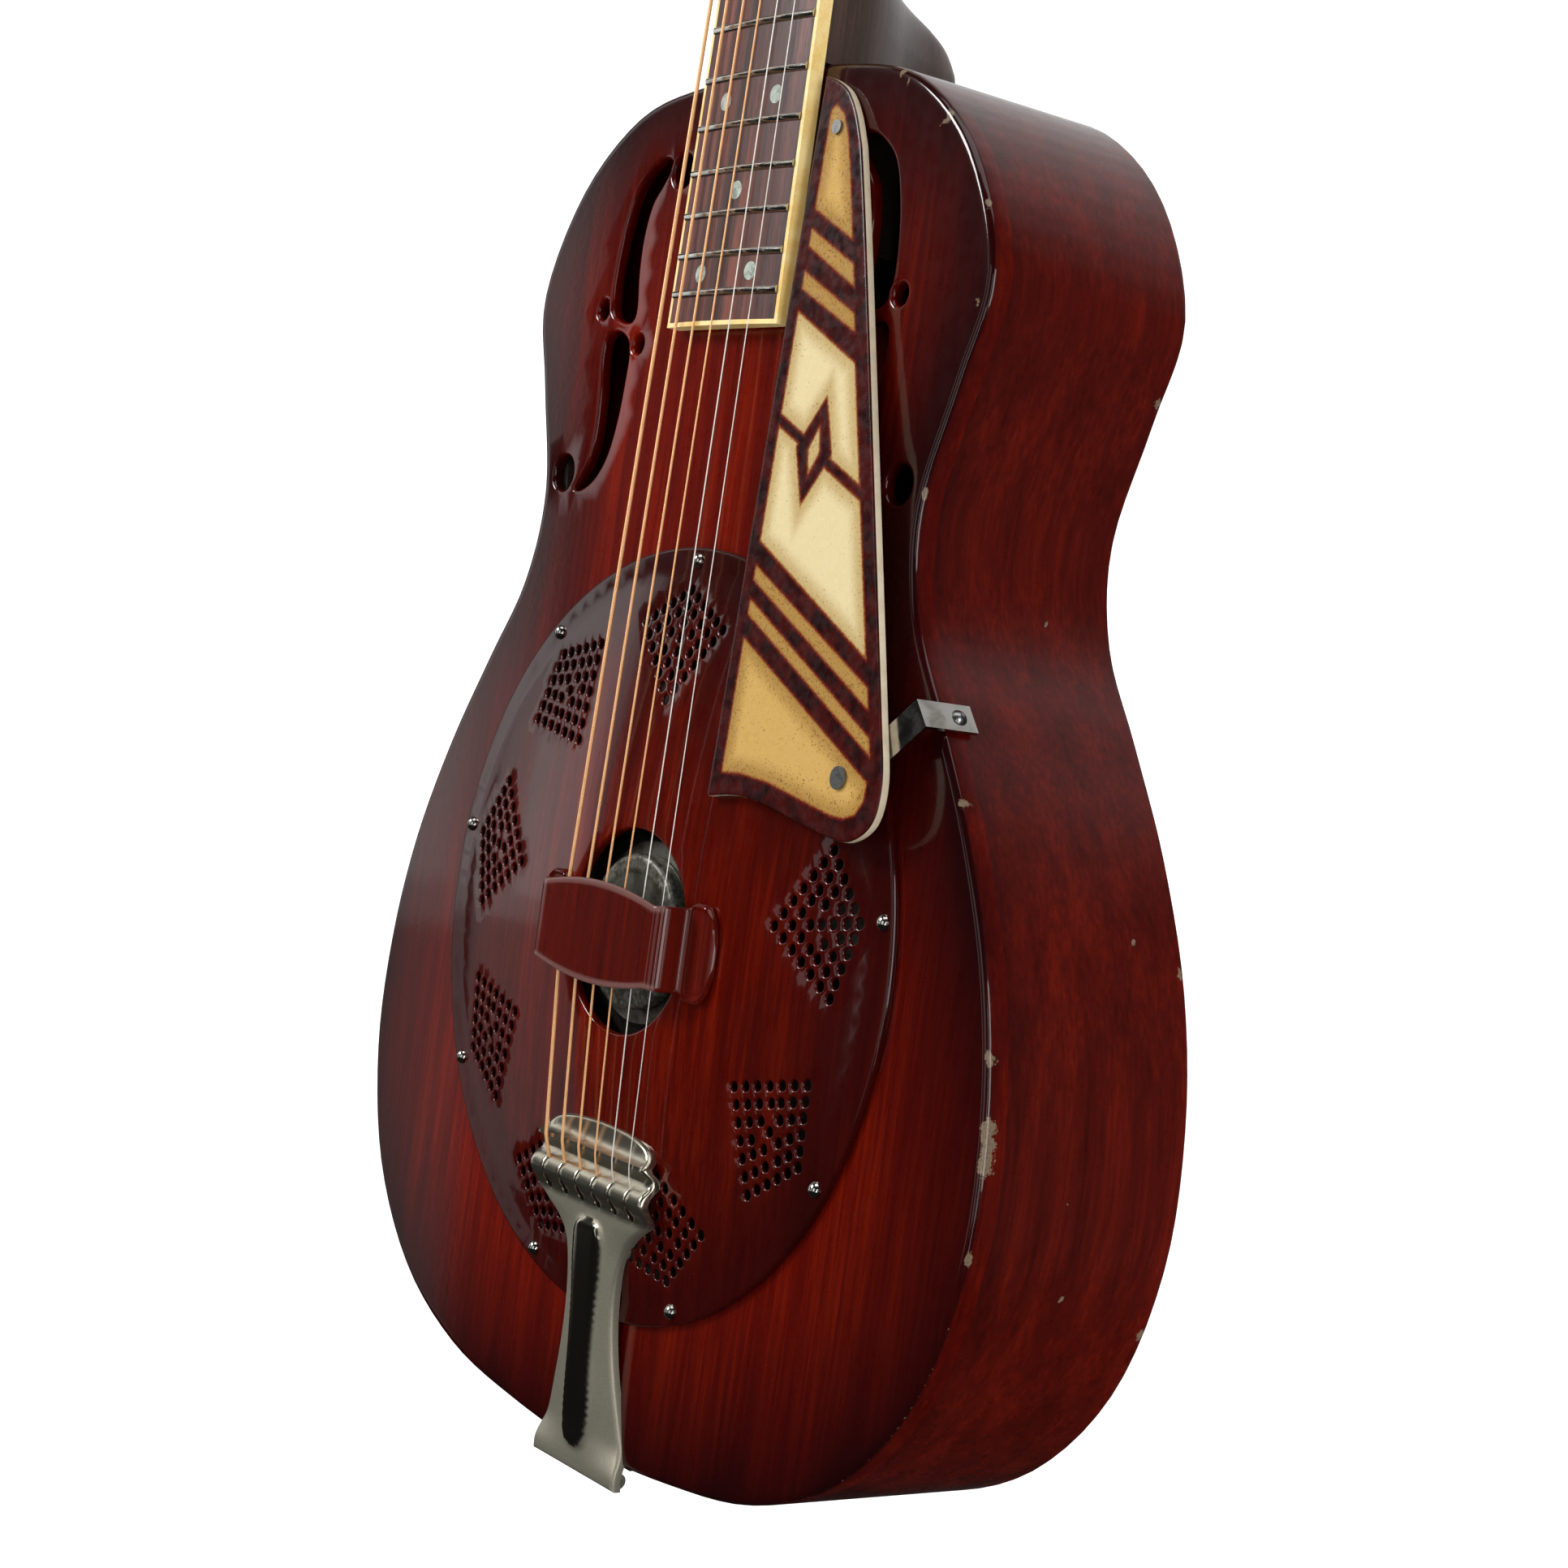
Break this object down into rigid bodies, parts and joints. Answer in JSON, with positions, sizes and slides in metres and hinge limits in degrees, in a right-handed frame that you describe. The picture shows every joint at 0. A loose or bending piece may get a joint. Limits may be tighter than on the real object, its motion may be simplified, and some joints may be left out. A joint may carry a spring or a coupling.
{
  "type": "resonator guitar",
  "caption": "Six-string resonator guitar with a wooden body, domed perforated coverplate, hinged tailpiece, raised pickguard and geared tuners.",
  "frame": {"origin": "point on the flat back directly behind the bridge saddle, on the centre line", "axes": "+Z from the tail towards the headstock, +X towards the treble side, +Y out of the back"},
  "size_m": [0.3512, 0.1028, 0.9676],
  "materials": {
    "body_finish": "red-brown stained mahogany ply under gloss lacquer, darker towards the edges",
    "inside_wood": "unfinished softwood",
    "neck_wood": "dark stained mahogany under gloss lacquer",
    "cover_paint": "metal grained and lacquered to match the body",
    "nickel": "polished nickel plate",
    "steel": "plain steel",
    "spun_aluminium": "spun aluminium, dulled",
    "biscuit_wood": "grey-brown maple",
    "maple": "bare maple",
    "rosewood": "oiled rosewood",
    "cream_plastic": "aged cream celluloid",
    "pearl": "grey pearl celluloid",
    "bone": "bone white",
    "black_veneer": "black stained veneer under gloss lacquer",
    "guard_plastic": "speckled cream celluloid with a dark red-brown border",
    "bronze": "phosphor bronze winding",
    "plain_steel": "plain steel wire",
    "gear_brass": "brass"
  },
  "bodies": {
    "root": {"soundboard": "body_finish", "back_plate": "body_finish", "bass_side": "body_finish", "treble_side": "body_finish", "top_lining": "inside_wood", "back_lining": "inside_wood", "neck_block": "inside_wood", "tail_block": "inside_wood", "soundwell": "inside_wood", "top_braces": "inside_wood", "back_braces": "inside_wood", "end_pin": "black_veneer", "cone": "spun_aluminium", "biscuit": "biscuit_wood", "saddle": "maple", "biscuit_screw": "steel", "coverplate": "cover_paint", "hand_rest": "cover_paint", "coverplate_screws": "nickel", "tailpiece_bracket": "nickel", "tailpiece_pin": "steel", "tailpiece_screws": "nickel", "neck": "neck_wood", "neck_bar": "steel", "fretboard": "rosewood", "fretboard_binding": "cream_plastic", "frets": "nickel", "fret_dots": "pearl", "nut": "bone", "headstock_veneer": "black_veneer", "pickguard": "guard_plastic", "pickguard_bracket": "nickel", "pickguard_screws": "steel", "bass_tuner_plate": "nickel", "treble_tuner_plate": "nickel", "tuner_bushings": "nickel", "tuner_plate_screws": "nickel", "wound_strings": "bronze", "second_string": "plain_steel", "first_string": "plain_steel"},
    "tailpiece": {"tailpiece": "nickel"},
    "tuner_worm_1": {"tuner_worm_1": "steel", "tuner_button_1": "bone"},
    "tuner_gear_1": {"tuner_gear_1": "gear_brass"},
    "tuner_worm_2": {"tuner_worm_2": "steel", "tuner_button_2": "bone"},
    "tuner_gear_2": {"tuner_gear_2": "gear_brass"},
    "tuner_worm_3": {"tuner_worm_3": "steel", "tuner_button_3": "bone"},
    "tuner_gear_3": {"tuner_gear_3": "gear_brass"},
    "tuner_worm_4": {"tuner_worm_4": "steel", "tuner_button_4": "bone"},
    "tuner_gear_4": {"tuner_gear_4": "gear_brass"},
    "tuner_worm_5": {"tuner_worm_5": "steel", "tuner_button_5": "bone"},
    "tuner_gear_5": {"tuner_gear_5": "gear_brass"},
    "tuner_worm_6": {"tuner_worm_6": "steel", "tuner_button_6": "bone"},
    "tuner_gear_6": {"tuner_gear_6": "gear_brass"}
  },
  "joints": [
    {"name": "tailpiece_hinge", "type": "hinge", "parent": "root", "child": "tailpiece", "pos_m": [0, -0.0796, -0.1734], "axis": [1, 0, 0], "range_deg": [0, 6], "stiffness_Nm_per_rad": 60, "deforming": ["wound_strings", "second_string", "first_string"]},
    {"name": "tuner_worm_1_turn", "type": "hinge", "parent": "root", "child": "tuner_worm_1", "pos_m": [-0.021, -0.04691, 0.67462], "axis": [1, 0, 0], "continuous": true},
    {"name": "tuner_post_1_turn", "type": "hinge", "parent": "root", "child": "tuner_gear_1", "pos_m": [-0.021, -0.04913, 0.66616], "axis": [0, 0.9673, -0.2538], "continuous": true},
    {"name": "tuner_worm_2_turn", "type": "hinge", "parent": "root", "child": "tuner_worm_2", "pos_m": [-0.021, -0.03803, 0.70847], "axis": [1, 0, 0], "continuous": true},
    {"name": "tuner_post_2_turn", "type": "hinge", "parent": "root", "child": "tuner_gear_2", "pos_m": [-0.021, -0.04025, 0.70001], "axis": [0, 0.9673, -0.2538], "continuous": true},
    {"name": "tuner_worm_3_turn", "type": "hinge", "parent": "root", "child": "tuner_worm_3", "pos_m": [-0.021, -0.02915, 0.74233], "axis": [1, 0, 0], "continuous": true},
    {"name": "tuner_post_3_turn", "type": "hinge", "parent": "root", "child": "tuner_gear_3", "pos_m": [-0.021, -0.03137, 0.73386], "axis": [0, 0.9673, -0.2538], "continuous": true},
    {"name": "tuner_worm_4_turn", "type": "hinge", "parent": "root", "child": "tuner_worm_4", "pos_m": [0.021, -0.02915, 0.74233], "axis": [1, 0, 0], "continuous": true},
    {"name": "tuner_post_4_turn", "type": "hinge", "parent": "root", "child": "tuner_gear_4", "pos_m": [0.021, -0.03137, 0.73386], "axis": [0, 0.9673, -0.2538], "continuous": true},
    {"name": "tuner_worm_5_turn", "type": "hinge", "parent": "root", "child": "tuner_worm_5", "pos_m": [0.021, -0.03803, 0.70847], "axis": [1, 0, 0], "continuous": true},
    {"name": "tuner_post_5_turn", "type": "hinge", "parent": "root", "child": "tuner_gear_5", "pos_m": [0.021, -0.04025, 0.70001], "axis": [0, 0.9673, -0.2538], "continuous": true},
    {"name": "tuner_worm_6_turn", "type": "hinge", "parent": "root", "child": "tuner_worm_6", "pos_m": [0.021, -0.04691, 0.67462], "axis": [1, 0, 0], "continuous": true},
    {"name": "tuner_post_6_turn", "type": "hinge", "parent": "root", "child": "tuner_gear_6", "pos_m": [0.021, -0.04913, 0.66616], "axis": [0, 0.9673, -0.2538], "continuous": true}
  ],
  "couplings": [
    {"joint": "tuner_post_1_turn", "follows": "tuner_worm_1_turn", "ratio": -0.071429},
    {"joint": "tuner_post_2_turn", "follows": "tuner_worm_2_turn", "ratio": -0.071429},
    {"joint": "tuner_post_3_turn", "follows": "tuner_worm_3_turn", "ratio": -0.071429},
    {"joint": "tuner_post_4_turn", "follows": "tuner_worm_4_turn", "ratio": -0.071429},
    {"joint": "tuner_post_5_turn", "follows": "tuner_worm_5_turn", "ratio": -0.071429},
    {"joint": "tuner_post_6_turn", "follows": "tuner_worm_6_turn", "ratio": -0.071429}
  ]
}
